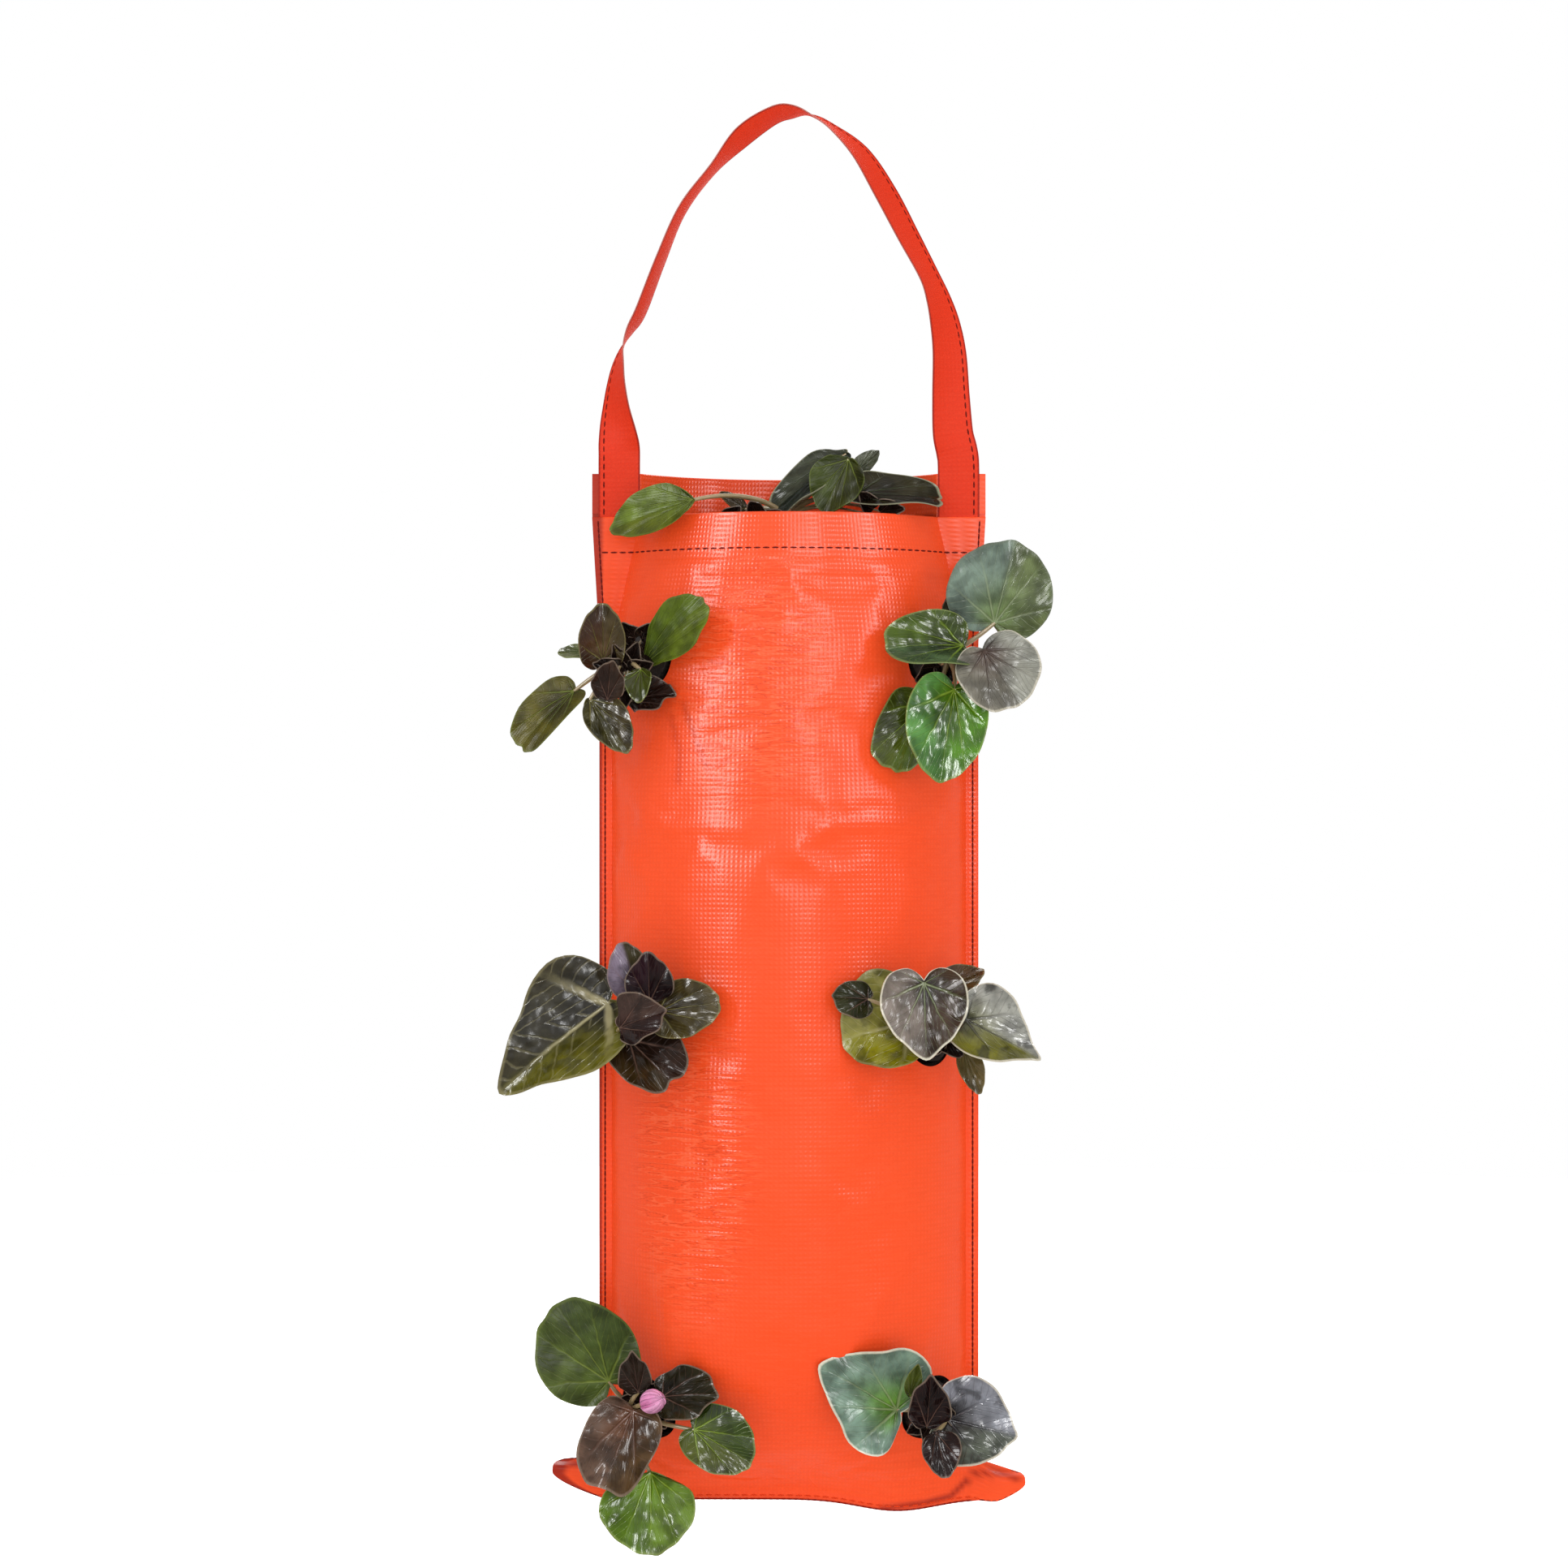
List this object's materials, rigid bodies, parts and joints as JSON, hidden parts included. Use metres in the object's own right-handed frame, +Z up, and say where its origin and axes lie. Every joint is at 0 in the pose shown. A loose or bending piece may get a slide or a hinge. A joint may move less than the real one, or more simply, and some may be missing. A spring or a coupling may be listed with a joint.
{
  "type": "hanging grow bag",
  "caption": "Tall woven sheet grow bag hung by a sewn strap handle, filled with soil, with leafy plants in holes down both sides and in its open mouth.",
  "frame": {"origin": "where a hook carries the strap, in the middle of the strap's top", "axes": "+Z up, +X to the right of the front, the front with its planting holes faces -Y"},
  "size_m": [0.307, 0.1483, 0.7883],
  "materials": {
    "bag_sheet": "smooth laminated weave",
    "strap_sheet": "smooth laminated weave",
    "thread": "twisted thread",
    "soil": "loose and damp",
    "roots": "loose and damp",
    "stem": "smooth",
    "green_leaf": "waxy",
    "olive_leaf": "waxy",
    "grey_leaf": "waxy",
    "maroon_leaf": "waxy",
    "petal": "satin"
  },
  "bodies": {
    "strap": {"strap_loop": "strap_sheet", "strap_edge_thread": "thread"},
    "bag": {"front_panel": "bag_sheet", "back_panel": "bag_sheet", "left_strap_end": "strap_sheet", "right_strap_end": "strap_sheet", "potting_soil": "soil", "flower_bud": "petal", "front_hem_thread": "thread", "back_hem_thread": "thread", "bottom_seam_thread": "thread", "left_seam_thread": "thread", "right_seam_thread": "thread", "upper_left_root_plug": "roots", "upper_left_stems": "stem", "upper_left_leaves": "olive_leaf", "upper_right_root_plug": "roots", "upper_right_stems": "stem", "upper_right_leaves": "grey_leaf", "middle_left_root_plug": "roots", "middle_left_stems": "stem", "middle_left_leaves": "maroon_leaf", "middle_right_root_plug": "roots", "middle_right_stems": "stem", "middle_right_leaves": "grey_leaf", "lower_left_root_plug": "roots", "lower_left_stems": "stem", "lower_left_leaves": "green_leaf", "lower_right_root_plug": "roots", "lower_right_stems": "stem", "lower_right_leaves": "grey_leaf", "mouth_root_plug": "roots", "mouth_stems": "stem", "mouth_leaves": "green_leaf"}
  },
  "joints": [
    {"name": "strap_fold", "type": "hinge", "parent": "strap", "child": "bag", "pos_m": [0, 0, -0.196], "axis": [1, 0, 0], "range_deg": [-95, 140]}
  ]
}
